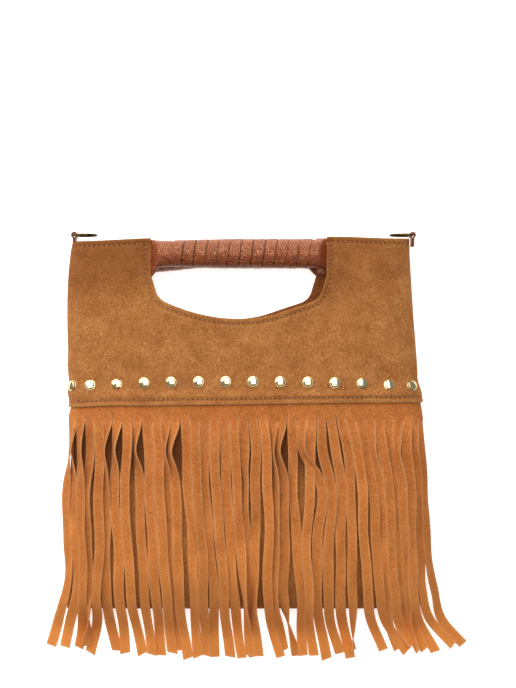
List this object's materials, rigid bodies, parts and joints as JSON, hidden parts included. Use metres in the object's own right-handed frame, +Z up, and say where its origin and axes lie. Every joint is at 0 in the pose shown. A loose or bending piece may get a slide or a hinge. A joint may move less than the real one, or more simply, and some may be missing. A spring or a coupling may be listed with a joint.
{
  "type": "fringed suede hand bag",
  "caption": "Flat-lying soft suede bag with a hand-hole top, lace-wrapped handles, a studded yoke and a long slit fringe down its front.",
  "frame": {"origin": "middle of the flat back panel, on the surface that the bag lies on, halfway up the body without its fringe", "axes": "+X to the right of the bag seen from the front, +Y from the bottom fold to the handles, +Z up through the thickness, out of the fringed front"},
  "size_m": [0.3199, 0.3341, 0.0447],
  "materials": {
    "tan_suede": "napped suede",
    "fringe_suede": "napped suede, cut edges",
    "cognac_leather": "grained, semi gloss",
    "pale_brass": "polished",
    "dark_brass": "antiqued"
  },
  "bodies": {
    "bag": {"front_yoke": "tan_suede", "front_panel": "tan_suede", "back_panel": "tan_suede", "front_fringe": "fringe_suede", "front_handle_core": "cognac_leather", "front_handle_lace": "cognac_leather", "back_handle_core": "cognac_leather", "back_handle_lace": "cognac_leather", "left_ring_loop": "cognac_leather", "right_ring_loop": "cognac_leather", "stud_01": "pale_brass", "stud_02": "pale_brass", "stud_03": "pale_brass", "stud_04": "pale_brass", "stud_05": "pale_brass", "stud_06": "pale_brass", "stud_07": "pale_brass", "stud_08": "pale_brass", "stud_09": "pale_brass", "stud_10": "pale_brass", "stud_11": "pale_brass", "stud_12": "pale_brass", "stud_13": "pale_brass", "stud_14": "pale_brass"},
    "left_ring": {"left_d_ring": "dark_brass"},
    "right_ring": {"right_d_ring": "dark_brass"}
  },
  "joints": [
    {"name": "left_ring_swing", "type": "hinge", "parent": "bag", "child": "left_ring", "pos_m": [-0.13195, 0.1475, 0.015], "axis": [0, 0, 1], "range_deg": [0, 200]},
    {"name": "right_ring_swing", "type": "hinge", "parent": "bag", "child": "right_ring", "pos_m": [0.13195, 0.1475, 0.015], "axis": [0, 0, -1], "range_deg": [0, 200]}
  ]
}
